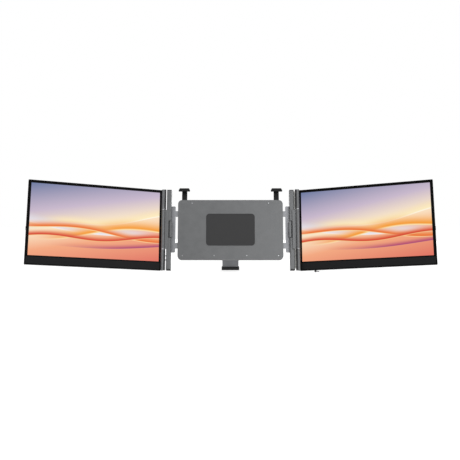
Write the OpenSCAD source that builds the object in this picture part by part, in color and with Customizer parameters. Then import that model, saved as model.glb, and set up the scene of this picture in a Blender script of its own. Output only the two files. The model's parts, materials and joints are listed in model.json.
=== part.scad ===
// Laptop screen extender: two hinged side screens on a sprung bracket that grips a laptop's lid.
// X runs along the lid, Z is up, and the whole thing leans back with the lid it is clamped to.
// Inside each module the lid stands upright: X along it, Y towards its back, Z up from its hinge.

/* [Laptop lid] */
// Width of the lid between the jaw pads
lid_w = 291; // [270:1:400]
// Thickness of the lid
lid_t = 6; // [4:0.5:9]
// Height of the lid's top edge above its hinge line
lid_h = 196.3; // [185:0.1:240]
// Lean of the open lid from upright, in degrees
lean = 12.6; // [0:0.1:30]
// Height of the laptop's hinge line above the table
deck_h = 15; // [8:1:25]

/* [Screens] */
// Width of the lit picture
display_w = 309.4; // [250:0.1:360]
// Height of the lit picture
display_h = 174; // [140:0.1:200]
// Bezel between the picture and the hinge
bezel_in = 5.7; // [4:0.1:10]
// Bezel at the free side
bezel_out = 6.2; // [3:0.1:10]
// Bezel above the picture
bezel_top = 6.2; // [3:0.1:12]
// Chin below the picture
chin = 21.3; // [10:0.1:30]
// Height of the picture's lower edge above the laptop's hinge line
display_z = 15.6; // [10:0.1:40]
// Thickness of a screen at its edges
slab_t = 5; // [4:0.5:8]
// Extra thickness over the electronics
bulge_t = 3.5; // [2:0.5:6]
// Height of the thick part, from the lower edge
bulge_h = 104; // [70:1:130]
// Wall of the screen's casing
shell_wall = 1.2; // [0.8:0.1:2]
// Inward turn of the screens, in degrees
toe = 18.7; // [0:0.1:45]

/* [Hinges] */
// Radius of the hinge barrel
barrel_r = 4.6; // [4:0.1:6]
// Radius of the hinge pin
pin_r = 2; // [1.2:0.1:2.5]
// Height of the middle knuckle's lower end
knuckle_z = 47; // [30:1:60]
// Length of the middle knuckle
knuckle_h = 98; // [60:1:110]
// Reach of the dust strip that hugs the barrel on its column side
strip_t = 1.8; // [1:0.1:2]
// Free slit between a column and the dust strip
slit = 1.8; // [1.5:0.1:4]
// How far the left barrel's axis stands in front of the lid
left_axis_fwd = 1.75; // [1:0.25:4]
// Depth of the picture behind the left barrel's axis
left_set = 5.2; // [5:0.1:7]
// Depth of the picture behind the right barrel's axis
right_set = 7.5; // [6:0.1:8]
// How far the right screen reaches in past the left one's place beside its hinge
right_tuck = 1.2; // [0:0.1:2]
// How far the right screen hangs below the left one's level
right_drop = 1.2; // [0:0.1:2]
// Air between the screens when both are folded in
fold_air = 0.75; // [0.5:0.05:3]

/* [Columns and jaws] */
// Width of a column
column_w = 11.2; // [9:0.1:16]
// Depth of a column from front to back
column_d = 20; // [17:0.5:28]
// Height of a column
column_h = 200; // [180:1:240]
// How far the column's foot hangs below the hinge line
column_drop = 4; // [0:1:10]
// How far the column stands in front of the lid
column_fwd = 2; // [1:0.5:4]
// Wall of a column
column_wall = 1.5; // [1:0.1:2]
// Height of the jaw's lower end
jaw_z = 75; // [65:1:90]
// Length of a jaw
jaw_h = 42.5; // [30:0.5:50]
// Overlap of the jaw's lip on the lid's front
lip = 1.5; // [1:0.1:4]

/* [Bracket and arms] */
// Half width of the bracket
bracket_half = 130; // [120:1:134]
// Height of the bracket
bracket_h = 150; // [140:1:160]
// Height of the bracket's lower edge
bracket_z = 22; // [10:1:30]
// Depth of the bracket's back cover
cover_d = 9.5; // [8.5:0.5:14]
// Thickness of the front plate
plate_t = 2; // [1.5:0.1:3]
// Wall of the back cover
cover_wall = 2; // [1.5:0.1:2.5]
// Thickness of the contact pad
pad_t = 1; // [0.5:0.1:2]
// Outward travel of each arm
arm_travel = 50; // [20:1:50]
// Width of each rail of an arm
rail_w = 14; // [10:0.5:16]
// Middle height of the lower rail
rail_low = 57; // [50:1:62]
// Middle height of the upper rail
rail_high = 137; // [130:1:142]

/* [Top clips] */
// Middle of a clip from the centre line
clip_x = 114.4; // [108:0.1:120]
// Width of a clip's head
clip_w = 28; // [16:0.1:30]
// Width of a clip's stem
stem_w = 13; // [8:0.5:16]
// Length of the stem below the lid's top edge
stem_drop = 106; // [90:1:110]
// Upward travel of a clip
clip_travel = 45; // [20:1:45]

/* [Kickstand] */
// Opening of the leg from the folded position, in degrees
stand_open = 38; // [20:1:60]
// Height of the leg's hinge
stand_z = 150; // [130:1:160]
// Width of the leg
leg_w = 50; // [40:1:70]
// Length of the outer leg
leg_len = 143; // [120:1:145]
// Thickness of the outer leg
leg_t = 5; // [4:0.5:6]

/* [Hidden] */
$fn = 48;
run = 0.05;
seat = 0.3;

lid_half = lid_w / 2;
column_x = lid_half + 0.5;
strip_r = barrel_r + strip_t;
barrel_x = column_x + column_w + slit + strip_r;
cap_t = 1.6;
column_z = cap_t - column_drop;
column_l = column_h - 2 * cap_t;
column_back = column_d - column_fwd;
right_axis_fwd = left_axis_fwd + left_set + slab_t + bulge_t + fold_air - right_set;

screen_z = display_z - chin;
screen_h = chin + display_h + bezel_top;
edge_d = 2.05;
picture_d = edge_d + bezel_in;
screen_w = bezel_in + display_w + bezel_out;
rim = 0.4;
rim_wall = 0.5;

plate_y = lid_t + pad_t;
cover_y = plate_y + plate_t;
cover_back = cover_y + cover_d;
floor_y = cover_back - cover_wall;
arm_t = 2;
arm_y = cover_y + 0.1;
arm_back = arm_y + arm_t;
rail_in = 22;
bar_w = 8;
spring_r = 1.5;
spring_y = arm_back + 2.4;
post_x = 45;
right_spring_z = (rail_low + rail_high) / 2 + 7;
left_spring_z = right_spring_z - 14;
stem_t = 1.4;
stem_y = arm_back + 1.4;
face_z = bracket_z + bracket_h / 2;

stand_y = cover_back + 4;
leg_cant = stand_open - lean;
hinge_up = deck_h + stand_z * cos(lean) - stand_y * sin(lean);
reach = hinge_up / cos(leg_cant);

// ---------- Placing ----------

// Leans a lid-upright shape back and puts the origin on the middle of the contact pad's face
module leaning() {
    rotate([-lean, 0, 0]) translate([0, -lid_t, -face_z]) children();
}

// Draws a right-hand shape on the left when side is -1
module handed(side) {
    if (side > 0) children();
    else mirror([1, 0, 0]) children();
}

function axis_fwd(side) = side > 0 ? right_axis_fwd : left_axis_fwd;
function set_back(side) = side > 0 ? right_set : left_set;
function tuck(side) = side > 0 ? right_tuck : 0;
function drop(side) = side > 0 ? right_drop : 0;

// Screen space: X out along the screen, Y behind it, the hinge axis at X = tuck
module on_screen(side) {
    handed(side) translate([barrel_x, -axis_fwd(side), 0]) rotate([0, 0, -toe])
        translate([-tuck(side), 0, -drop(side)]) children();
}

// Leg space: origin on the kickstand's hinge axis, -Z down the leg
module on_leg() {
    translate([0, stand_y, stand_z]) rotate([stand_open, 0, 0]) children();
}

// ---------- Shared shapes ----------

// Rounded rectangle from its lower left corner
module plate_2d(w, h, r) {
    union() {
        translate([r, 0]) square([w - 2 * r, h]);
        translate([0, r]) square([w, h - 2 * r]);
        for (x = [r, w - r], y = [r, h - r]) translate([x, y]) circle(r = r);
    }
}

// Upright slab in X and Z, with rounded corners, from y0 to y1
module slab(x0, z0, w, h, r, y0, y1) {
    translate([x0, y1, z0]) rotate([90, 0, 0]) linear_extrude(y1 - y0) plate_2d(w, h, r);
}

// Block from one corner to the other
module block(a, b) {
    translate(a) cube(b - a);
}

// Cylinder along Y from y0 to y1
module rod_y(x, z, r, y0, y1) {
    translate([x, y1, z]) rotate([90, 0, 0]) cylinder(r = r, h = y1 - y0);
}

// Cylinder along X from x0 to x1
module rod_x(y, z, r, x0, x1) {
    translate([x0, y, z]) rotate([0, 90, 0]) cylinder(r = r, h = x1 - x0);
}

// Countersunk screw along Y: head at the back face, shank towards the front
module screw_y(x, z, head_r, shank_r, tip_y, head_y) {
    union() {
        rod_y(x, z, shank_r, tip_y, head_y - 0.5);
        difference() {
            rod_y(x, z, head_r, head_y - 1, head_y);
            translate([x - 0.3, head_y - 0.4, z - head_r * 0.7])
                cube([0.6, 1, head_r * 1.4]);
            translate([x - head_r * 0.7, head_y - 0.4, z - 0.3])
                cube([head_r * 1.4, 1, 0.6]);
        }
    }
}

// Tension spring along X or Z: close-wound body with an end loop round each post
module spring_body(length) {
    loop_r = 1.7;
    wire_r = 0.4;
    coil_z = loop_r + wire_r - 0.2;
    coil_h = length - 2 * coil_z;
    difference() {
        translate([0, 0, coil_z]) cylinder(r = spring_r, h = coil_h);
        translate([0, 0, coil_z + 0.8]) cylinder(r = spring_r - 2 * wire_r, h = coil_h - 1.6);
    }
    for (end_z = [0, length]) {
        translate([0, 0, end_z]) rotate([90, 0, 0])
            rotate_extrude() translate([loop_r, 0]) circle(r = wire_r, $fn = 16);
    }
}

// ---------- Bracket ----------

cover_screws_at = [
    [-95, bracket_z + bracket_h - 8], [95, bracket_z + bracket_h - 8],
    [-118, bracket_z + 10], [118, bracket_z + 10], [-40, bracket_z + 10], [40, bracket_z + 10]
];
rails = [rail_low, rail_high];
pad_w = 120;
pad_h = 80;
corner_r = 10;
stop_r = 2;
arm_stop_x = rail_in + bar_w + arm_travel + stop_r + seat;

module lid_pad() {
    color("dimgray") leaning()
        slab(-pad_w / 2, face_z - pad_h / 2, pad_w, pad_h, 8, lid_t, plate_y);
}

module front_plate() {
    color("darkgray") leaning() difference() {
        slab(-bracket_half, bracket_z, 2 * bracket_half, bracket_h, corner_r, plate_y, cover_y);
        for (at = cover_screws_at) rod_y(at[0], at[1], 1.25, plate_y - 1, cover_y + 1);
    }
}

// Opening in the cover's side wall for one rail, and in its top wall for one clip stem
module rail_mouth(side, z) {
    handed(side) block([bracket_half - 2 * cover_wall, cover_y - 1, z - rail_w / 2 - seat],
                       [bracket_half + 1, arm_back + 0.2, z + rail_w / 2 + seat]);
}

module stem_mouth(side) {
    handed(side) block([clip_x - stem_w / 2 - seat, stem_y - seat, bracket_z + bracket_h - 4],
                       [clip_x + stem_w / 2 + seat, stem_y + stem_t + seat,
                        bracket_z + bracket_h + 1]);
}

// Two ears that hold the kickstand's pin
module stand_ears() {
    ear_t = 4;
    for (side = [-1, 1]) handed(side) translate([leg_w / 2 + 0.5, 0, 0]) difference() {
        union() {
            rod_x(stand_y, stand_z, 4, 0, ear_t);
            block([0, floor_y + 0.5, stand_z - 7], [ear_t, stand_y, stand_z + 7]);
        }
        rod_x(stand_y, stand_z, 1.52, -1, ear_t + 1);
    }
}

module back_cover() {
    inner_w = 2 * (bracket_half - cover_wall);
    inner_h = bracket_h - 2 * cover_wall;
    guide_z = bracket_z + 70;
    color("gray") leaning() difference() {
        union() {
            difference() {
                slab(-bracket_half, bracket_z, 2 * bracket_half, bracket_h, corner_r,
                     cover_y, cover_back);
                slab(-inner_w / 2, bracket_z + cover_wall, inner_w, inner_h,
                     corner_r - cover_wall, cover_y - 1, floor_y);
            }
            for (at = cover_screws_at) rod_y(at[0], at[1], 3.5, cover_y, floor_y + 0.5);
            for (side = [-1, 1]) handed(side) {
                for (x = [clip_x - stem_w / 2 - 2.2, clip_x + stem_w / 2 + seat])
                    block([x, arm_back + 0.9, guide_z],
                          [x + 1.9, floor_y + 0.5, bracket_z + bracket_h - 1]);
                rod_y(clip_x, clip_post_z, 1, arm_back + 0.7, floor_y + 0.5);
                rod_y(arm_stop_x, face_z, stop_r, cover_y, floor_y + 0.5);
                block([clip_x - stem_w / 2 - 1, floor_y - 1.4, clip_stop_z],
                      [clip_x + stem_w / 2 + 1, floor_y + 0.5, clip_stop_z + 2]);
            }
            rod_y(-post_x, right_spring_z, 1, arm_back + 0.7, floor_y + 0.5);
            rod_y(post_x, left_spring_z, 1, arm_back + 0.7, floor_y + 0.5);
            stand_ears();
        }
        for (at = cover_screws_at) {
            rod_y(at[0], at[1], 1.25, cover_y - 1, cover_back + 1);
            rod_y(at[0], at[1], 2.4, cover_back - 1.1, cover_back + 1);
        }
        for (side = [-1, 1]) {
            for (z = rails) rail_mouth(side, z);
            stem_mouth(side);
        }
    }
}

module cover_screws() {
    color("silver") leaning() for (at = cover_screws_at)
        screw_y(at[0], at[1], 2.2, 1.15, plate_y + 0.3, cover_back - 0.1);
}

// Low-friction strips that the rails slide against
module glide_strips() {
    color("whitesmoke") leaning() for (side = [-1, 1], z = rails) handed(side)
        block([70, arm_back + run, z - rail_w / 2 + 1], [104, floor_y, z + rail_w / 2 - 1]);
}

// ---------- Arms ----------

arm_low = rail_low - rail_w / 2 - 10;
arm_high = rail_high + rail_w / 2 + 12;
arm_out = column_x + 6;
screw_x = column_x + column_wall + 1.6;
column_screws_at = [arm_low + 6, rail_low + 24, rail_high - 24, arm_high - 6];

module arm_plate(side, hook_z) {
    color("silver") leaning() handed(side) difference() {
        union() {
            for (z = rails)
                block([rail_in, arm_y, z - rail_w / 2], [arm_out, arm_back, z + rail_w / 2]);
            slab(rail_in, rail_low - rail_w / 2, bar_w, rail_high - rail_low + rail_w, 1.5,
                 arm_y, arm_back);
            slab(column_x - 10, arm_low, arm_out - column_x + 10, arm_high - arm_low, 3,
                 arm_y, arm_back);
            rod_y(rail_in + bar_w / 2, hook_z, 1, arm_back - 0.5, floor_y - 0.6);
        }
        for (z = column_screws_at) rod_y(screw_x, z, 1.05, arm_y - 1, arm_back + 1);
    }
}

// Outline of a column seen from above
module column_2d(inset) {
    translate([column_x + inset, -column_fwd + inset])
        plate_2d(column_w - 2 * inset, column_d - 2 * inset, max(1.6 - inset, 0.4));
}

jaw_w = 5.9;
jaw_back = 8;
nose_w = 3.8;
nose_d = 3;
nose_cut = 1.2;
wing_x = column_x + jaw_w + seat;
wing_end = column_x + column_w - 0.1;
wing_t = 1.8;
wing_root = 6;
slit_stops_z = [18.8, 29.1];
function wing_front(side) =
    side > 0 ? left_axis_fwd + left_set - rim - 0.55 : left_axis_fwd + 0.8;

module column(side) {
    color("gray") leaning() handed(side) union() {
        difference() {
            union() {
                difference() {
                    translate([0, 0, column_z]) linear_extrude(column_l) column_2d(0);
                    translate([0, 0, column_z - 1])
                        linear_extrude(column_l + 2) column_2d(column_wall);
                }
                for (z = column_screws_at)
                    rod_y(screw_x, z, 2.3, arm_back + run, column_back - 0.5);
            }
            block([column_x - 1, -column_fwd - 1, jaw_z - seat],
                  [wing_x - run, jaw_back + seat, jaw_z + jaw_h + seat]);
            block([wing_x - run, -column_fwd - 1, knuckle_z - run],
                  [column_x + column_w + 1, wing_root + run, knuckle_z + knuckle_h + run]);
            block([column_x - 1, arm_y - run, arm_low - run],
                  [column_x + 3, arm_back + run, arm_high + run]);
            for (z = column_screws_at) {
                rod_y(screw_x, z, 1.05, arm_y, column_back + 1);
                rod_y(screw_x, z, 1.7, column_back - 1.15, column_back + 1);
            }
        }
        if (side < 0) for (z = slit_stops_z)
            block([column_x + column_w - seat, -1, z], [barrel_x - strip_r - seat, 3, z + 2.4]);
    }
}

// Plugs that close the column's two ends
module column_caps(side) {
    color("dimgray") leaning() handed(side) for (end = [0, 1])
        translate([0, 0, end > 0 ? column_z + column_l : column_z]) mirror([0, 0, end]) {
            translate([0, 0, -cap_t]) linear_extrude(cap_t) column_2d(0.1);
            translate([0, 0, -0.5]) linear_extrude(6) column_2d(column_wall + 0.1);
        }
}

module column_screws(side) {
    color("silver") leaning() handed(side) for (z = column_screws_at)
        screw_y(screw_x, z, 1.6, 1, arm_y + 0.2, column_back - 0.1);
}

// Jaw on a deep root, with a narrower nose whose lip laps over the lid's front
module jaw(side) {
    root_x = column_x + seat;
    nose_x = column_x + nose_w;
    color("dimgray") leaning() handed(side) union() {
        block([root_x, nose_d, jaw_z], [column_x + jaw_w, jaw_back, jaw_z + jaw_h]);
        translate([0, 0, jaw_z + nose_cut]) linear_extrude(jaw_h - 2 * nose_cut)
            polygon([
                [lid_half - lip, -column_fwd + 0.6], [lid_half - lip + 0.6, -column_fwd],
                [nose_x - 0.8, -column_fwd], [nose_x, -column_fwd + 0.8],
                [nose_x, nose_d + 1], [root_x, nose_d + 1], [root_x, -0.5],
                [lid_half - lip, -0.5]
            ]);
    }
}

module jaw_pad(side) {
    color("black") leaning() handed(side)
        block([lid_half, 0.2, jaw_z + nose_cut],
              [column_x + seat, lid_t - 0.2, jaw_z + jaw_h - nose_cut]);
}

// Middle knuckle with the wing that carries it
module hinge_wing(side) {
    front = wing_front(side);
    color("gray") leaning() handed(side) translate([0, 0, knuckle_z]) difference() {
        linear_extrude(knuckle_h) union() {
            translate([wing_x, -front]) square([wing_end - wing_x, front + wing_root]);
            translate([wing_x, -front]) square([barrel_x - 1.8 - wing_x, wing_t]);
            translate([barrel_x, -axis_fwd(side)]) circle(r = barrel_r);
        }
        translate([barrel_x, -axis_fwd(side), -1]) cylinder(r = pin_r + 0.02, h = knuckle_h + 2);
    }
}

rail_front = 2.4;
rail_back = 10;
rail_out = 3.4;

// Light wedge behind the slit of the deeper hinge, slanted to clear the screen's swing
module hinge_rail() {
    color("lightgray") leaning()
        linear_extrude(column_z + column_l - 0.5) polygon([
            [column_x + column_w, rail_front], [barrel_x - rail_out, rail_front + 5.8],
            [barrel_x - rail_out, rail_back], [column_x + column_w, rail_back]
        ]);
}

module hinge_pin(side) {
    color("silver") leaning() handed(side)
        translate([barrel_x, -axis_fwd(side), screen_z + 0.6 - drop(side)])
            cylinder(r = pin_r, h = screen_h - 1.2);
}

module hinge_washers(side) {
    washer_t = 1 - 2 * run;
    color("silver") leaning() handed(side)
        for (z = [knuckle_z - washer_t - run, knuckle_z + knuckle_h + run])
            translate([barrel_x, -axis_fwd(side), z]) difference() {
                cylinder(r = barrel_r - 0.2, h = washer_t);
                translate([0, 0, -1]) cylinder(r = pin_r + 0.03, h = 3);
            }
}

module arm_spring(side, z) {
    color("silver") leaning() handed(side)
        translate([-post_x, spring_y, z]) rotate([0, 90, 0])
            spring_body(post_x + rail_in + bar_w / 2);
}

// ---------- Screens ----------

bezel_t = 1.4;
outer_d = edge_d + screen_w;
picture_z = display_z;
knuckle_gap = 1;
spine_lap = 1.6;
spine_in = 1;
board_y = 4.4;
board_t = 1.2;
bulge_in = 22;
bulge_z = screen_z + 16;
bulge_top = screen_z + bulge_h;
bulge_out = outer_d - 0.4;
board_d = [60, 300];
board_z = [screen_z + 24, screen_z + 92];
board_posts = [for (x = board_d, z = board_z) [x + (x > 100 ? -5 : 5), z + (z > 40 ? -5 : 5)]];
shell_screws_at = [14, 110, 215, outer_d - 12];
shell_screw_z = screen_z + 8;
port_z = [screen_z + 32, screen_z + 50, screen_z + 68];
port_w = [9, 9, 10.4];
port_h = 3.2;
key_z = screen_z + 86;
key_w = 9;
key_h = 2.6;
port_y = 4.9;
rocker_d = picture_d + 32;
rocker_z = screen_z + 3.6;
rocker_pin_r = 0.8;
rocker_t = 2.3;

// Upright slab in screen space, set back from the picture's face by y0 and y1
module screen_slab(side, x0, z0, w, h, r, y0, y1) {
    slab(x0, z0, w, h, r, set_back(side) + y0, set_back(side) + y1);
}

module screen_block(side, a, b) {
    block([a[0], a[1] + set_back(side), a[2]], [b[0], b[1] + set_back(side), b[2]]);
}

// Stadium bar along X in screen space, for sockets and keys
module stadium(side, z, w, h, x0, x1) {
    translate([x0, set_back(side) + port_y, z]) rotate([0, 90, 0])
        linear_extrude(x1 - x0) union() {
            square([w - h, h], center = true);
            for (end = [-1, 1]) translate([end * (w - h) / 2, 0]) circle(r = h / 2);
        }
}

module bezel(side) {
    gap = 0.05;
    color([0.03, 0.03, 0.03]) leaning() on_screen(side) difference() {
        screen_slab(side, edge_d + rim_wall + gap, screen_z + rim_wall + gap,
                    screen_w - 2 * (rim_wall + gap), screen_h - 2 * (rim_wall + gap),
                    1.6, -rim, bezel_t - rim);
        screen_slab(side, picture_d, picture_z, display_w, display_h, 0.2, -rim - 1, bezel_t);
        screen_slab(side, edge_d + 3, screen_z + 2.6, screen_w - 6, chin - 4.6, 0.5,
                    -rim - 1, bezel_t);
    }
}

module display(side) {
    gap = 0.05;
    color("lightsteelblue") leaning() on_screen(side)
        screen_slab(side, picture_d + gap, picture_z + gap, display_w - 2 * gap,
                    display_h - 2 * gap, 0.2, 0, bezel_t - rim);
}

module backlight(side) {
    lap = 3;
    color("gainsboro") leaning() on_screen(side)
        screen_slab(side, picture_d - lap, picture_z - lap, display_w + 2 * lap,
                    display_h + 2 * lap, 0.4, bezel_t - rim + run, 2.8);
}

module chin_cover(side) {
    gap = 0.1;
    color([0.13, 0.13, 0.13]) leaning() on_screen(side)
        screen_slab(side, edge_d + 3 + gap, screen_z + 2.6 + gap, screen_w - 6 - 2 * gap,
                    chin - 4.6 - 2 * gap, 0.4, -rim - 0.1, bezel_t - rim);
}

// Thick part of the casing: sloped at its top, foot and inner end, shrunk all round by inset
module bulge(side, inset) {
    back = set_back(side) + slab_t;
    deep = back + bulge_t - inset;
    root = back - 2;
    z0 = bulge_z + inset;
    z1 = bulge_top - inset;
    x0 = bulge_in + inset;
    x1 = bulge_out - inset;
    slope = 8;
    intersection() {
        translate([x0, 0, 0]) rotate([90, 0, 90]) linear_extrude(x1 - x0)
            polygon([[root, z0 - 2], [deep, z0 + 2.5], [deep, z1 - slope], [root, z1 + 2]]);
        translate([0, 0, z0 - 3]) linear_extrude(z1 - z0 + 6)
            polygon([[x0 - 2, root], [x1, root], [x1, deep], [x0 + slope, deep]]);
    }
}

module back_shell(side) {
    set = set_back(side);
    back = slab_t - shell_wall;
    color([0.2, 0.2, 0.21]) leaning() on_screen(side) difference() {
        union() {
            difference() {
                union() {
                    screen_slab(side, edge_d, screen_z, screen_w, screen_h, 2, -rim, slab_t);
                    bulge(side, 0);
                }
                screen_slab(side, edge_d + rim_wall, screen_z + rim_wall,
                            screen_w - 2 * rim_wall, screen_h - 2 * rim_wall, 1.6,
                            -rim - 1, bezel_t - rim);
                screen_slab(side, edge_d + shell_wall, screen_z + shell_wall,
                            screen_w - 2 * shell_wall, screen_h - 2 * shell_wall, 1,
                            -rim, back);
                bulge(side, shell_wall);
            }
            for (x = shell_screws_at)
                rod_y(x, shell_screw_z, 2.2, set + bezel_t - rim, set + back + 0.5);
            for (at = board_posts)
                rod_y(at[0], at[1], 2, set + board_y + board_t, set + slab_t + bulge_t - 0.5);
            if (side > 0)
                rod_y(rocker_d, rocker_z, rocker_pin_r, set + bezel_t - rim + 0.1,
                      set + back + 0.5);
        }
        // Chamfer that lets the deep screen swing back past its column
        translate([edge_d, set + slab_t, screen_z - 1]) rotate([0, 0, 45])
            translate([-1.5, -1.5, 0]) cube([3, 3, screen_h + 2]);
        for (x = shell_screws_at) {
            rod_y(x, shell_screw_z, 0.85, set, set + slab_t + 1);
            rod_y(x, shell_screw_z, 1.7, set + slab_t - 1.15, set + slab_t + 1);
        }
        for (i = [0 : 2])
            stadium(side, port_z[i], port_w[i] + 0.1, port_h + 0.1, outer_d - 4, outer_d + 1);
        stadium(side, key_z, key_w + 0.2, key_h + 0.2, outer_d - 4, outer_d + 1);
        if (side > 0)
            screen_block(side, [rocker_d - 3.4, 1.05, screen_z - 1],
                         [rocker_d + 3.4, back - 0.05, screen_z + shell_wall + 0.1]);
        for (i = [0 : 11])
            screen_block(side, [110 + 10 * i, slab_t + 1, bulge_top - 22],
                         [112 + 10 * i, slab_t + bulge_t + 1, bulge_top - 14]);
    }
}

function spine_low(side) = [screen_z + 0.2, knuckle_z + drop(side) - knuckle_gap];
function spine_high(side) =
    [knuckle_z + drop(side) + knuckle_h + knuckle_gap, screen_z + screen_h - 0.2];

// Top and bottom knuckles on the strip that clasps the screen's inner edge
module hinge_spine(side) {
    set = set_back(side);
    axis_d = tuck(side);
    front = set - rim;
    tongue = set + 1.4;
    low = spine_low(side);
    high = spine_high(side);
    color("gray") leaning() on_screen(side) difference() {
        union() {
            for (zone = [low, high]) translate([0, 0, zone[0]])
                linear_extrude(zone[1] - zone[0]) union() {
                    translate([axis_d, 0]) circle(r = barrel_r);
                    translate([axis_d - spine_in, 0])
                        square([edge_d + spine_lap + spine_in - axis_d, front]);
                    translate([axis_d - spine_in, 0])
                        square([edge_d + spine_in - axis_d, tongue]);
                }
            block([axis_d + 0.4, max(barrel_r + 0.4, set + 0.3), low[0]],
                  [edge_d, tongue, high[1]]);
        }
        translate([axis_d, 0, screen_z - 1]) cylinder(r = pin_r + run, h = screen_h + 2);
    }
}

// Dust strips round the column side of the top and bottom knuckles
module hinge_strips(side) {
    color([0.05, 0.05, 0.05]) leaning() on_screen(side)
        for (zone = [spine_low(side), spine_high(side)])
            translate([tuck(side), 0, zone[0]]) linear_extrude(zone[1] - zone[0])
                intersection() {
                    difference() {
                        circle(r = strip_r);
                        circle(r = barrel_r + run);
                    }
                    polygon([[0, 0], [-4.1, -11.3], [-14, -11.3], [-14, 5.1]]);
                }
}

module driver_board(side) {
    y = [board_y, board_y + board_t];
    color("darkgreen") leaning() on_screen(side) union() {
        screen_block(side, [board_d[0], y[0], board_z[0]], [board_d[1], y[1], board_z[1]]);
        screen_block(side, [board_d[1] - 1, y[0], board_z[0] + 4],
                     [outer_d - 10, y[1], board_z[1] - 2]);
        for (chip = [[100, 12, 30], [150, 18, 22], [215, 14, 14], [250, 30, 18]])
            screen_block(side, [chip[0], y[1] - 0.1, board_z[0] + chip[1]],
                         [chip[0] + chip[2], y[1] + 1.2, board_z[0] + chip[1] + 20]);
        screen_block(side, [outer_d - 11, y[0], key_z - 3], [outer_d - 3.1, y[1] + 0.6, key_z + 3]);
    }
}

module port_sockets(side) {
    wall = 0.3;
    color("silver") leaning() on_screen(side) for (i = [0 : 2]) difference() {
        stadium(side, port_z[i], port_w[i], port_h, outer_d - 9.95, outer_d - 0.3);
        stadium(side, port_z[i], port_w[i] - 2 * wall, port_h - 2 * wall, outer_d - 9,
                outer_d + 1);
    }
}

module power_key(side) {
    color([0.1, 0.1, 0.1]) leaning() on_screen(side) union() {
        stadium(side, key_z, key_w, key_h, outer_d - 2, outer_d + 0.6);
        stadium(side, key_z, key_w + 1.8, key_h + 1, outer_d - 2.6, outer_d - shell_wall - 0.45);
    }
}

module shell_screws(side) {
    set = set_back(side);
    color("silver") leaning() on_screen(side) for (x = shell_screws_at)
        screw_y(x, shell_screw_z, 1.6, 0.8, set + bezel_t - rim + 0.1, set + slab_t - 0.1);
}

// Rocking menu lever: a round ear and a slanting thin ear below the screen's edge
module control_rocker() {
    set = set_back(1);
    ear_r = 2.4;
    ear_z = -rocker_z + screen_z - 2.2;
    color([0.05, 0.05, 0.05]) leaning() on_screen(1)
        translate([rocker_d, set + 3.5, rocker_z]) rotate([90, 0, 0]) difference() {
            union() {
                cylinder(r = 2, h = rocker_t);
                translate([-1.7, ear_z, 0]) cube([3.4, -ear_z, rocker_t]);
                translate([0, ear_z, 0]) cylinder(r = ear_r, h = rocker_t);
                linear_extrude(rocker_t)
                    polygon([[0, ear_z + 1.6], [9.2, ear_z - 0.9], [8.8, ear_z - 2.1],
                             [0, ear_z - 0.6]]);
            }
            translate([0, 0, -1]) cylinder(r = rocker_pin_r + run, h = rocker_t + 2);
        }
}

// ---------- Top clips ----------

clip_top = lid_h + 3.9;
clip_gap = 0.7;
clip_front = -2.4;
lip_low = lid_h - 4.8;
hook_z = lid_h - stem_drop + 1.6;
clip_post_z = bracket_z + 26;
clip_stop_z = hook_z + 1 + clip_travel + seat;

module top_clip(side) {
    head_z = lid_h + clip_gap;
    color([0.06, 0.06, 0.06]) leaning() handed(side) union() {
        slab(clip_x - stem_w / 2, lid_h - stem_drop, stem_w, clip_top - lid_h + stem_drop - 1, 2,
             stem_y, stem_y + stem_t);
        intersection() {
            translate([clip_x - clip_w / 2, 0, 0]) rotate([90, 0, 90]) linear_extrude(clip_w)
                polygon([
                    [clip_front, lip_low + 0.8], [clip_front, clip_top - 1.4],
                    [clip_front + 1.4, clip_top], [stem_y + stem_t - 1, clip_top],
                    [stem_y + stem_t, clip_top - 1], [stem_y + stem_t, head_z],
                    [-0.4, head_z], [-0.4, lip_low], [clip_front + 0.8, lip_low]
                ]);
            translate([clip_x, stem_y + stem_t + 1, 0]) rotate([90, 0, 0])
                linear_extrude(stem_y + stem_t + 2 - clip_front)
                    polygon([
                        [-clip_w / 2 - 1, lip_low - 1], [clip_w / 2 + 1, lip_low - 1],
                        [clip_w / 2 + 1, lid_h - 3.2], [clip_w / 2 - 3.2, clip_top + 1],
                        [3.2 - clip_w / 2, clip_top + 1], [-clip_w / 2 - 1, lid_h - 3.2]
                    ]);
        }
        rod_y(clip_x, hook_z, 1, stem_y + stem_t - 0.5, floor_y - 0.2);
    }
}

module clip_pad(side) {
    color("dimgray") leaning() handed(side)
        block([clip_x - clip_w / 2 + 2, 0.2, lid_h + 0.1], [clip_x + clip_w / 2 - 2, lid_t - 0.2,
              lid_h + clip_gap]);
}

module clip_spring(side) {
    color("silver") leaning() handed(side)
        translate([clip_x, stem_y + stem_t + 0.5, clip_post_z])
            spring_body(hook_z - clip_post_z);
}

// ---------- Kickstand ----------

foot_t = 2;
foot_w = leg_w - 8;
foot_in = 78;
tip_h = 8;
leg_top = 10;

module kickstand_leg() {
    wall = (leg_t - foot_t) / 2 - run;
    color("gray") leaning() on_leg() difference() {
        union() {
            rod_x(0, 0, 3.2, -leg_w / 2, leg_w / 2);
            block([-leg_w / 2, -leg_t / 2, -leg_top], [leg_w / 2, 1.5, 0]);
            slab(-leg_w / 2, -leg_len, leg_w, leg_len - leg_top + 2, 3, -leg_t / 2, leg_t / 2);
        }
        rod_x(0, 0, 1.55, -leg_w, leg_w);
        block([-foot_w / 2 - 0.1, -leg_t / 2 + wall, -leg_len - 1],
              [foot_w / 2 + 0.1, leg_t / 2 - wall, -leg_len + 110]);
        slab(-12, -leg_len + 14, 24, 60, 11, leg_t / 2 - wall - 0.1, leg_t);
    }
}

module kickstand_pin() {
    color("silver") leaning()
        rod_x(stand_y, stand_z, 1.5, -leg_w / 2 - 4.2, leg_w / 2 + 4.2);
}

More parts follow.
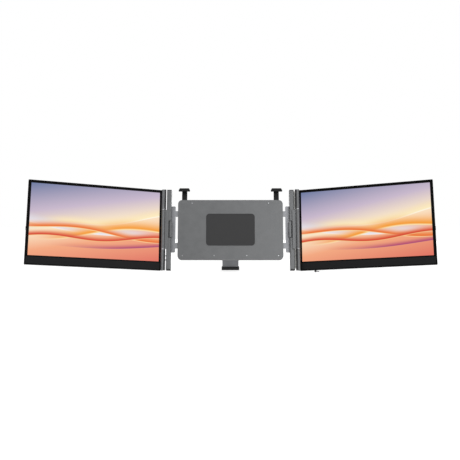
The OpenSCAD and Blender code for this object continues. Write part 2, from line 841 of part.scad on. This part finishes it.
// Inner leg that slides out to reach the table
module kickstand_foot() {
    color("silver") leaning() on_leg() union() {
        slab(-foot_w / 2, -reach + tip_h, foot_w, reach - tip_h - foot_in, 2, -foot_t / 2,
             foot_t / 2);
        rod_y(0, -leg_len + 40, 6, foot_t / 2 - 0.2, leg_t / 2 + 0.6);
    }
}

// Rubber tip, cut level with the table
module kickstand_tip() {
    half = 3.5;
    slant = half * tan(leg_cant);
    color([0.1, 0.1, 0.1]) leaning() on_leg() difference() {
        translate([-foot_w / 2 - 2, 0, 0]) rotate([90, 0, 90]) linear_extrude(foot_w + 4)
            polygon([
                [-half, -reach + slant], [half, -reach - slant],
                [half, -reach + tip_h + 1], [half - 1, -reach + tip_h + 2],
                [1 - half, -reach + tip_h + 2], [-half, -reach + tip_h + 1]
            ]);
        block([-foot_w / 2 - run, -foot_t / 2 - run, -reach + tip_h],
              [foot_w / 2 + run, foot_t / 2 + run, -reach + tip_h + 3]);
    }
}

// ---------- Nodes ----------

lid_pad();
front_plate();
back_cover();
cover_screws();
glide_strips();
arm_plate(-1, left_spring_z);  // left_arm_plate
column(-1);  // left_column
column_caps(-1);  // left_column_caps
column_screws(-1);  // left_column_screws
jaw(-1);  // left_jaw
jaw_pad(-1);  // left_jaw_pad
hinge_wing(-1);  // left_hinge_wing
hinge_pin(-1);  // left_hinge_pin
hinge_washers(-1);  // left_hinge_washers
arm_spring(-1, left_spring_z);  // left_arm_spring
arm_plate(1, right_spring_z);  // right_arm_plate
column(1);  // right_column
column_caps(1);  // right_column_caps
column_screws(1);  // right_column_screws
jaw(1);  // right_jaw
jaw_pad(1);  // right_jaw_pad
hinge_wing(1);  // right_hinge_wing
hinge_pin(1);  // right_hinge_pin
hinge_washers(1);  // right_hinge_washers
arm_spring(1, right_spring_z);  // right_arm_spring
hinge_rail();  // right_hinge_rail
bezel(-1);  // left_bezel
display(-1);  // left_display
backlight(-1);  // left_backlight
chin_cover(-1);  // left_chin
back_shell(-1);  // left_back_shell
hinge_spine(-1);  // left_hinge_spine
hinge_strips(-1);  // left_hinge_strips
driver_board(-1);  // left_driver_board
port_sockets(-1);  // left_port_sockets
power_key(-1);  // left_power_key
shell_screws(-1);  // left_shell_screws
bezel(1);  // right_bezel
display(1);  // right_display
backlight(1);  // right_backlight
chin_cover(1);  // right_chin
back_shell(1);  // right_back_shell
hinge_spine(1);  // right_hinge_spine
hinge_strips(1);  // right_hinge_strips
driver_board(1);  // right_driver_board
port_sockets(1);  // right_port_sockets
power_key(1);  // right_power_key
shell_screws(1);  // right_shell_screws
control_rocker();  // right_control_rocker
top_clip(-1);  // left_top_clip
clip_pad(-1);  // left_clip_pad
clip_spring(-1);  // left_clip_spring
top_clip(1);  // right_top_clip
clip_pad(1);  // right_clip_pad
clip_spring(1);  // right_clip_spring
kickstand_leg();
kickstand_pin();
kickstand_foot();
kickstand_tip();
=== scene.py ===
"""Looks of a laptop screen extender: two hinged side screens on a sprung lid bracket."""
import json
import math

import bmesh
import bpy
from mathutils import Matrix, Vector


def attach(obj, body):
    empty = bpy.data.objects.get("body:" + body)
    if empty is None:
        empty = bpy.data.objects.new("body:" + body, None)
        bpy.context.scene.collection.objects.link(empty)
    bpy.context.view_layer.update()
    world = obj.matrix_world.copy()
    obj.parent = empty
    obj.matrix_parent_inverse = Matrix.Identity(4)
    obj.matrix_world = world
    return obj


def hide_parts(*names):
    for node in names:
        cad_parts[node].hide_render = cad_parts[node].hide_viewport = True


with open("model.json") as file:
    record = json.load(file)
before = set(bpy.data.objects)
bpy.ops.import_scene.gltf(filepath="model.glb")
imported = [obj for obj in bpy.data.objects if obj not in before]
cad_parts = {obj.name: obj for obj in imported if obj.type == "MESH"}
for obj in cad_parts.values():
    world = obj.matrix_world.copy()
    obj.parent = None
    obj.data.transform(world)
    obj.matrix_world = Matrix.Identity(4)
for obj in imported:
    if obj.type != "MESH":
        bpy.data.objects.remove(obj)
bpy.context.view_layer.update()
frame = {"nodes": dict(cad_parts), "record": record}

MM = 0.001
SIDES = {"left": -1, "right": 1}

# Placing, as in the part: the bracket leans back with the lid, the screens turn inward
LEAN = math.radians(12.6)
TOE = math.radians(18.7)
LID_T = 6
FACE_Z = 97
BARREL_X = 165.4
AXIS_FWD = {"left": 1.75, "right": 8.7}
SET_BACK = {"left": 5.2, "right": 7.5}
TUCK = {"left": 0, "right": 1.2}
DROP = {"left": 0, "right": 1.2}
FLOOR_Z = -108.4

# Screen sizes in screen space: X out along the screen, Y behind the picture, Z up
EDGE_D = 2.05
BEZEL_IN = 5.7
PICTURE_D = EDGE_D + BEZEL_IN
PICTURE_W = 309.4
PICTURE_H = 174
PICTURE_Z = 15.6
GLASS_GAP = 0.05
GLASS_T = 0.95
UNLIT_EDGE = 0.8

# Mending of a part's mesh before its edges are rolled over
WELD = 0.002
FLAT_DEG = 0.3


# ---------- Placing ----------

def lid_space():
    """Turns lid-upright millimetres into the row frame's metres."""
    shift = Matrix.Translation(Vector((0, -LID_T, -FACE_Z)))
    return Matrix.Scale(MM, 4) @ Matrix.Rotation(-LEAN, 4, "X") @ shift


def screen_space(name):
    """Turns one screen's own millimetres into the row frame's metres."""
    hand = Matrix.Diagonal((SIDES[name], 1, 1, 1))
    hinge = Matrix.Translation(Vector((BARREL_X, -AXIS_FWD[name], 0)))
    picture = Matrix.Translation(Vector((-TUCK[name], SET_BACK[name], -DROP[name])))
    return lid_space() @ hand @ hinge @ Matrix.Rotation(-TOE, 4, "Z") @ picture


# ---------- Materials ----------

# Colour sockets of a Mix node
MIX_A, MIX_B, MIX_RESULT = 6, 7, 2

# Noise values that span a finish's two colours, and how much of them is broad blotches
NOISE_LOW, NOISE_HIGH = 0.3, 0.7
BLOTCH_MM = 18
BLOTCH_SHARE = 0.35
ROUGH_SPREAD = 0.06
COAT_ROUGH = 0.12

# Wire of the wound springs
WIRE_T = 0.8


def linear(hex_colour):
    """Turns an sRGB hex value into linear red, green, blue and alpha."""
    parts = [int(hex_colour[i:i + 2], 16) / 255 for i in (1, 3, 5)]
    curve = [c / 12.92 if c <= 0.04045 else ((c + 0.055) / 1.055) ** 2.4 for c in parts]
    return (*curve, 1.0)


def add(tree, kind, inputs=None, stops=(), **settings):
    """Adds a node with its settings. An input is a value, a socket, or a node's first output.

    The stops of a colour ramp are (place, hex) pairs.
    """
    node = tree.nodes.new(kind)
    for name, value in settings.items():
        setattr(node, name, value)
    for name, value in (inputs or {}).items():
        if isinstance(value, bpy.types.Node):
            value = value.outputs[0]
        if isinstance(value, bpy.types.NodeSocket):
            tree.links.new(value, node.inputs[name])
        else:
            node.inputs[name].default_value = value
    if stops:
        elements = node.color_ramp.elements
        while len(elements) < len(stops):
            elements.new(1)
        for element, (place, colour) in zip(elements, stops):
            element.position = place
            element.color = linear(colour)
    return node


def blank(blocks, name):
    """New material or world with an empty node tree."""
    block = blocks.new(name)
    block.use_nodes = True
    block.node_tree.nodes.clear()
    return block


def per_metre(size_mm):
    """Texture scale whose features are about size_mm across."""
    return 1 / (size_mm * MM)


def per_turn(size_mm):
    """Wave texture scale whose bands lie size_mm apart."""
    return 2 * math.pi / (20 * size_mm * MM)


def finish(name, dark, light, grain_mm, roughness, metallic=0.0, relief_mm=0.0,
           stretch=(1, 1, 1), coat=0.0, sheen=0.0, specular=0.5, turns=None):
    """Surface with fine grain in its colour, gloss and relief, and faint broad unevenness.

    turns is the axis along which wire is wound, and its turns then make the relief.
    """
    material = blank(bpy.data.materials, name)
    tree = material.node_tree
    place = add(tree, "ShaderNodeTexCoord").outputs["Object"]
    squeezed = add(tree, "ShaderNodeMapping", {"Vector": place, "Scale": stretch})
    grain = add(tree, "ShaderNodeTexNoise", {"Vector": squeezed, "Scale": per_metre(grain_mm),
                                             "Detail": 3.0, "Roughness": 0.6})
    blotch = add(tree, "ShaderNodeTexNoise", {"Vector": place, "Scale": per_metre(BLOTCH_MM),
                                              "Detail": 2.0})
    both = add(tree, "ShaderNodeMix", {"Factor": BLOTCH_SHARE, "A": grain, "B": blotch},
               data_type="FLOAT")
    colour = add(tree, "ShaderNodeValToRGB", {"Fac": both},
                 [(NOISE_LOW, dark), (NOISE_HIGH, light)])
    gloss = add(tree, "ShaderNodeMapRange", {"Value": both,
                                             "From Min": NOISE_LOW, "From Max": NOISE_HIGH,
                                             "To Min": roughness - ROUGH_SPREAD,
                                             "To Max": roughness + ROUGH_SPREAD})
    surface = {"Base Color": colour, "Roughness": gloss, "Metallic": metallic,
               "Specular IOR Level": specular}
    if coat:
        surface |= {"Coat Weight": coat, "Coat Roughness": COAT_ROUGH}
    if sheen:
        surface["Sheen Weight"] = sheen
    if relief_mm:
        surface["Normal"] = add(tree, "ShaderNodeBump", {"Height": grain, "Strength": 0.5,
                                                         "Distance": relief_mm * MM})
    if turns:
        upright = add(tree, "ShaderNodeMapping", {"Vector": place, "Rotation": (LEAN, 0, 0)})
        coil = add(tree, "ShaderNodeTexWave", {"Vector": upright, "Scale": per_turn(WIRE_T)},
                   bands_direction=turns)
        surface["Normal"] = add(tree, "ShaderNodeBump", {"Height": coil.outputs["Fac"],
                                                         "Strength": 1.0,
                                                         "Distance": WIRE_T / 2 * MM})
    shader = add(tree, "ShaderNodeBsdfPrincipled", surface)
    add(tree, "ShaderNodeOutputMaterial", {"Surface": shader})
    return material


# Blasting, sanding and spark erosion leave grain of about 0.05 to 0.1 mm. That is too fine to
# show, so the grain of these finishes is drawn several times as coarse.

# Bead-blasted and anodised aluminium: an even grey haze that loses its gloss at a low angle
anodised_grey = finish("anodised_aluminium_grey", "#545556", "#626364", 0.5, 0.46,
                       metallic=0.7, relief_mm=0.02)
anodised_black = finish("anodised_aluminium_black", "#1b1b1d", "#242426", 0.5, 0.44,
                        metallic=0.6, relief_mm=0.02, specular=0.3)
# Stamped steel drawn through a belt sander: fine lines along the arm
brushed_steel = finish("brushed_stainless_steel", "#6a6b6d", "#86878a", 0.25, 0.5,
                       metallic=1.0, relief_mm=0.01, stretch=(0.03, 1, 1))
# Stainless steel turned on a lathe: small bright glints on pins and screw heads
turned_steel = finish("turned_stainless_steel", "#8c8d90", "#b5b6b9", 0.3, 0.28, metallic=1.0)
# Hard-drawn wire wound tight: each turn catches its own thin highlight
arm_coils = finish("wound_spring_steel_along", "#6c6d70", "#8f9093", 0.3, 0.35, metallic=1.0,
                   turns="X")
clip_coils = finish("wound_spring_steel_upright", "#6c6d70", "#8f9093", 0.3, 0.35, metallic=1.0,
                    turns="Z")
# Moulded ABS with a spark-eroded texture: tiny pits break up the highlight
black_abs = finish("textured_black_abs", "#0b0b0c", "#121213", 0.4, 0.52, relief_mm=0.04,
                   specular=0.15)
charcoal_abs = finish("textured_charcoal_abs", "#0e0e0f", "#131314", 0.4, 0.55, relief_mm=0.04,
                      specular=0.1)
# Acrylic frame with black ink on its back: even, deep black under a faint satin gloss
bezel_pmma = finish("inked_black_acrylic", "#020202", "#040404", 0.6, 0.4, specular=0.03)
# Moulded silicone: matt, with dust-fine speckle
silicone = finish("moulded_black_silicone", "#1d1d1e", "#29292a", 0.8, 0.8, relief_mm=0.03,
                  sheen=0.1)
# Matt dusty dark grey with no shine on the strips at the slit side of the knuckles: painted shade,
# a dark sheet where the barrel's flank falls into shade beside the slit
painted_shade_strips = finish("dark_strips_painted_shade", "#2c2c2d", "#373738", 0.5, 0.75, relief_mm=0.03,
                     specular=0.2)
# Acetal milled from bar: milky white with a waxy half-gloss
acetal = finish("machined_acetal", "#dcdcd6", "#ebebe6", 1.0, 0.4)
# Diffuser sheet over a backlight: flat, milky and without shine
diffuser = finish("backlight_diffuser", "#cfd0d2", "#e4e5e6", 0.8, 0.5)
# Solder mask on glass-fibre board: deep green under a thin clear gloss
board_green = finish("solder_mask_green", "#1c4a2a", "#27633a", 1.5, 0.35, coat=0.3)


# ---------- Picture ----------

# Brightness of the lit panel
PANEL_GLOW = 0.98

# Generic dusk colours from the lower right corner to the upper left, and how far they slant
DUSK = [(0, "#e07060"), (0.3, "#f4a880"), (0.5, "#fce8c8"), (0.7, "#c8b8cc"), (1, "#6878a0")]
SLANT = 0.25

# Curtains of light, the farthest first. In shares of the picture: the hem's height at the left,
# its rise to the right and its swing; half waves and start in radians; the curtain's height;
# from where to where it fades in across. Then its colours at the hem, above it and at its top.
VEILS = [
    (0.37, 0.24, 0.04, 2.2, 0.4, 0.14, (-0.1, 0.3), "#fffdf2", "#fdecc0", "#f2d9b4"),
    (0.47, -0.2, 0.05, 1.3, 3.4, 0.16, (1.15, 0.7), "#f6f3f6", "#e6e0e8", "#d5d3df"),
    (0.27, 0.13, 0.06, 1.7, 3.9, 0.19, (0.0, 0.4), "#fff0b4", "#f59a2c", "#fbd798"),
    (0.41, -0.12, 0.04, 1.9, 5.6, 0.12, (-0.3, 0.1), "#ffe6a6", "#ea6a22", "#f9c27c"),
    (0.245, 0.05, 0.035, 2.3, 0.7, 0.1, (-0.5, 0.0), "#fbd08c", "#d63a24", "#f09a66"),
    (0.14, 0.06, 0.03, 1.4, 2.2, 0.08, (0.1, 0.8), "#904080", "#b85070", "#e08878"),
]

# Shares of a curtain's height: it starts crisply at its hem and fades out towards its top
CRISP_HEM = (-0.05, 0.04)
SOFT_TOP = (1.0, 0.15)
BODY_AT, TOP_AT = 0.12, 0.9


def lit_picture():
    """Lit panel: a dusk gradient under curtains of light, in a thin unlit border."""
    material = blank(bpy.data.materials, "lit_lcd_panel")
    tree = material.node_tree
    chart = add(tree, "ShaderNodeUVMap", uv_map="panel")
    axes = add(tree, "ShaderNodeSeparateXYZ", {"Vector": chart})
    across, up = axes.outputs["X"], axes.outputs["Y"]

    tilt = add(tree, "ShaderNodeMath", {0: across, 1: -SLANT, 2: SLANT},
               operation="MULTIPLY_ADD")
    climb = add(tree, "ShaderNodeMath", {0: up, 1: 1 - SLANT, 2: tilt},
                operation="MULTIPLY_ADD")
    colour = add(tree, "ShaderNodeValToRGB", {"Fac": climb}, DUSK)

    for hem, rise, swing, waves, start, height, fade, rim, body, top in VEILS:
        slope = add(tree, "ShaderNodeMath", {0: across, 1: rise, 2: hem},
                    operation="MULTIPLY_ADD")
        turn = add(tree, "ShaderNodeMath", {0: across, 1: waves * math.pi, 2: start},
                   operation="MULTIPLY_ADD")
        wave = add(tree, "ShaderNodeMath", {0: turn}, operation="SINE")
        line = add(tree, "ShaderNodeMath", {0: wave, 1: swing, 2: slope},
                   operation="MULTIPLY_ADD")
        above = add(tree, "ShaderNodeMath", {0: up, 1: line}, operation="SUBTRACT")
        depth = add(tree, "ShaderNodeMath", {0: above, 1: height}, operation="DIVIDE")
        shade = add(tree, "ShaderNodeValToRGB", {"Fac": depth},
                    [(0, rim), (BODY_AT, body), (TOP_AT, top)])
        cover = 1
        for value, clear, full in ((depth, *CRISP_HEM), (depth, *SOFT_TOP), (across, *fade)):
            shown = add(tree, "ShaderNodeMapRange", {"Value": value, "From Min": clear,
                                                     "From Max": full},
                        interpolation_type="SMOOTHSTEP")
            cover = add(tree, "ShaderNodeMath", {0: shown, 1: cover}, operation="MULTIPLY")
        colour = add(tree, "ShaderNodeMix", {0: cover, MIX_A: colour, MIX_B: shade},
                     data_type="RGBA").outputs[MIX_RESULT]

    lit = 1
    for share, size in ((across, PICTURE_W), (up, PICTURE_H)):
        far = add(tree, "ShaderNodeMath", {0: 1, 1: share}, operation="SUBTRACT")
        near = add(tree, "ShaderNodeMath", {0: share, 1: far}, operation="MINIMUM")
        inside = add(tree, "ShaderNodeMath", {0: near, 1: UNLIT_EDGE / size},
                     operation="GREATER_THAN")
        lit = add(tree, "ShaderNodeMath", {0: inside, 1: lit}, operation="MULTIPLY")
    colour = add(tree, "ShaderNodeMix", {0: lit, MIX_A: linear("#000000"), MIX_B: colour},
                 data_type="RGBA").outputs[MIX_RESULT]
    shader = add(tree, "ShaderNodeBsdfPrincipled",
                 {"Base Color": linear("#050505"), "Roughness": 0.4, "Specular IOR Level": 0.1,
                  "Emission Color": colour, "Emission Strength": PANEL_GLOW})
    add(tree, "ShaderNodeOutputMaterial", {"Surface": shader})
    return material


lit_panel = lit_picture()


# ---------- Shapes ----------

def new_piece(name, form, surface, body, slot, *stands_for, sharp_deg=38):
    """Makes a finished mesh into a piece that rides on a body."""
    mesh = bpy.data.meshes.new(name)
    form.to_mesh(mesh)
    form.free()
    mesh.materials.append(surface)
    mesh.polygons.foreach_set("use_smooth", [True] * len(mesh.polygons))
    mesh.set_sharp_from_angle(angle=math.radians(sharp_deg))
    piece = bpy.data.objects.new(name, mesh)
    bpy.context.scene.collection.objects.link(piece)
    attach(piece, body)
    if stands_for:
        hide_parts(*stands_for)
    return piece


def body_of_node(node):
    """Name of the CAD body that holds a node."""
    groups = frame["record"]["behaviour"]["bodies"]
    return next(body for body, members in groups.items() if node in members)


def slot_of_node(node):
    """Name of the record's material slot of a node."""
    rows = frame["record"]["subparts"]
    return next(row["material_slot"] for row in rows if row["node"] == node)


def softened(node, radius, surface, sharp_deg=30):
    """Copies a part and rolls its sharp edges over, as tumbling or a mould's radius leaves them."""
    form = bmesh.new()
    form.from_mesh(frame["nodes"][node].data)
    bmesh.ops.remove_doubles(form, verts=form.verts, dist=WELD * MM)
    bmesh.ops.dissolve_limit(form, angle_limit=math.radians(FLAT_DEG), verts=form.verts,
                             edges=form.edges)
    piece = new_piece(node + "_soft", form, surface, body_of_node(node), slot_of_node(node), node,
                      sharp_deg=sharp_deg)
    roll = piece.modifiers.new("rolled_edges", "BEVEL")
    roll.width = radius * MM
    roll.segments = 3
    roll.limit_method = "ANGLE"
    roll.angle_limit = math.radians(sharp_deg)
    roll.use_clamp_overlap = True
    roll.harden_normals = True


def coated(node, surface):
    """Gives a CAD part its finish where it stands."""
    part = frame["nodes"][node]
    part.data.materials.clear()
    part.data.materials.append(surface)


def panel(name):
    """The glass of one screen, with its picture mapped edge to edge."""
    low_x = PICTURE_D + GLASS_GAP
    low_z = PICTURE_Z + GLASS_GAP
    high_x = PICTURE_D + PICTURE_W - GLASS_GAP
    high_z = PICTURE_Z + PICTURE_H - GLASS_GAP
    corners = [(low_x, low_z), (high_x, low_z), (high_x, high_z), (low_x, high_z)]
    form = bmesh.new()
    chart = form.loops.layers.uv.new("panel")
    front, back = [[form.verts.new(Vector((x, depth, z))) for x, z in corners]
                   for depth in (0, GLASS_T)]
    form.faces.new(front)
    form.faces.new(back[::-1])
    for here in range(len(corners)):
        past = (here + 1) % len(corners)
        form.faces.new([front[past], front[here], back[here], back[past]])
    for face in form.faces:
        for loop in face.loops:
            across = (loop.vert.co.x - low_x) / (high_x - low_x)
            if name == "left":
                across = 1 - across
            loop[chart].uv = (across, (loop.vert.co.z - low_z) / (high_z - low_z))
    form.transform(screen_space(name))
    bmesh.ops.recalc_face_normals(form, faces=form.faces)
    new_piece(name + "_picture", form, lit_panel, name + "_screen", "display", name + "_display")


# ---------- Building ----------

for part in ("front_plate", "back_cover"):
    softened(part, 0.4, anodised_grey)
softened("lid_pad", 0.3, silicone)
coated("cover_screws", turned_steel)
coated("glide_strips", acetal)

for name in SIDES:
    softened(name + "_arm_plate", 0.2, brushed_steel)
    softened(name + "_column", 0.25, anodised_grey)
    softened(name + "_column_caps", 0.25, charcoal_abs)
    softened(name + "_jaw", 0.3, anodised_grey)
    softened(name + "_hinge_wing", 0.25, anodised_grey)
    softened(name + "_hinge_spine", 0.25, anodised_grey)
    # Dark strips on the slit side of the knuckles: painted shade of the barrel's flank
    softened(name + "_hinge_strips", 0.2, painted_shade_strips)
    softened(name + "_bezel", 0.12, bezel_pmma)
    softened(name + "_chin", 0.15, charcoal_abs)
    softened(name + "_back_shell", 0.2, anodised_black, sharp_deg=16)
    softened(name + "_top_clip", 0.5, black_abs)
    softened(name + "_power_key", 0.15, black_abs)
    panel(name)
    for part in ("jaw_pad", "clip_pad"):
        coated(f"{name}_{part}", silicone)
    for part in ("column_screws", "hinge_pin", "hinge_washers", "port_sockets", "shell_screws"):
        coated(f"{name}_{part}", turned_steel)
    coated(name + "_arm_spring", arm_coils)
    coated(name + "_clip_spring", clip_coils)
    coated(name + "_backlight", diffuser)
    coated(name + "_driver_board", board_green)
softened("right_hinge_rail", 0.25, acetal)
softened("right_control_rocker", 0.2, black_abs)
softened("kickstand_leg", 0.4, anodised_grey)
softened("kickstand_foot", 0.25, brushed_steel)
softened("kickstand_tip", 0.5, silicone)
coated("kickstand_pin", turned_steel)


# ---------- Studio ----------

# Brightness of what only lights the part, of what the eye sees, and of the floor where it is seen
WORLD_GLOW = 0.62
SEEN_GLOW = 1.0
FLOOR_GLOW = 1.35
FLOOR_LIFT = 0.6
FLOOR_HALF_M = 6

# Soft lamps: name, place in metres, width in metres, watts
LAMPS = [("key", (0.8, -1.6, 0.6), 1.2, 16),
         ("fill", (-1.3, -1.3, 1.3), 1.8, 12),
         ("rear", (0.3, 1.9, 0.8), 1.8, 28)]

# Camera: place in millimetres, degrees that it looks down, sensor and focal length in millimetres
EYE = (-1.1, -1736.0, 37.9)
EYE_DOWN = 1.294
SENSOR_W = 36
FOCAL = 55.1
CLIP_END_M = 50


def seen_directly(tree):
    """Node that is 1 where the eye, a reflection or a clear part looks at a surface."""
    path = add(tree, "ShaderNodeLightPath")
    seen = path.outputs["Is Camera Ray"]
    for ray in ("Is Glossy Ray", "Is Transmission Ray"):
        seen = add(tree, "ShaderNodeMath", {0: seen, 1: path.outputs[ray]},
                   operation="ADD", use_clamp=True)
    return seen


def surroundings():
    """Even white all round, which the eye sees brighter than it lights the part."""
    world = blank(bpy.data.worlds, "studio")
    bpy.context.scene.world = world
    tree = world.node_tree
    dim, white = [add(tree, "ShaderNodeBackground", {"Color": linear("#ffffff"),
                                                     "Strength": glow})
                  for glow in (WORLD_GLOW, SEEN_GLOW)]
    both = add(tree, "ShaderNodeMixShader", {"Fac": seen_directly(tree), 1: dim, 2: white})
    add(tree, "ShaderNodeOutputWorld", {"Surface": both})


def floor():
    """Wide sheet of white paper, lifted a little where it is seen, that keeps its shadows."""
    material = blank(bpy.data.materials, "white_paper_sweep")
    tree = material.node_tree
    share = add(tree, "ShaderNodeMath", {0: seen_directly(tree), 1: FLOOR_LIFT},
                operation="MULTIPLY")
    paper = add(tree, "ShaderNodeBsdfDiffuse", {"Color": linear("#eeeeee")})
    lift = add(tree, "ShaderNodeEmission", {"Color": linear("#ffffff"), "Strength": FLOOR_GLOW})
    both = add(tree, "ShaderNodeMixShader", {"Fac": share, 1: paper, 2: lift})
    add(tree, "ShaderNodeOutputMaterial", {"Surface": both})
    form = bmesh.new()
    bmesh.ops.create_grid(form, x_segments=1, y_segments=1, size=FLOOR_HALF_M)
    mesh = bpy.data.meshes.new("floor")
    form.to_mesh(mesh)
    form.free()
    mesh.materials.append(material)
    sheet = bpy.data.objects.new("floor", mesh)
    sheet.location.z = FLOOR_Z * MM
    bpy.context.scene.collection.objects.link(sheet)


def lamps():
    """Three broad soft lamps, each turned to the middle of the part."""
    for name, place, size, power in LAMPS:
        lamp = bpy.data.lights.new(name, "AREA")
        lamp.size = size
        lamp.energy = power
        holder = bpy.data.objects.new(name, lamp)
        holder.location = place
        holder.rotation_euler = (-Vector(place)).to_track_quat("-Z", "Y").to_euler()
        bpy.context.scene.collection.objects.link(holder)


def camera():
    """Long-lens view from in front, tilted slightly down."""
    eye = bpy.data.cameras.new("camera")
    eye.sensor_width = SENSOR_W
    eye.lens = FOCAL
    eye.clip_end = CLIP_END_M
    holder = bpy.data.objects.new("camera", eye)
    holder.location = Vector(EYE) * MM
    holder.rotation_euler = (math.radians(90 - EYE_DOWN), 0, 0)
    bpy.context.scene.collection.objects.link(holder)
    bpy.context.scene.camera = holder


bpy.context.scene.view_settings.view_transform = "Standard"
surroundings()
floor()
lamps()
camera()
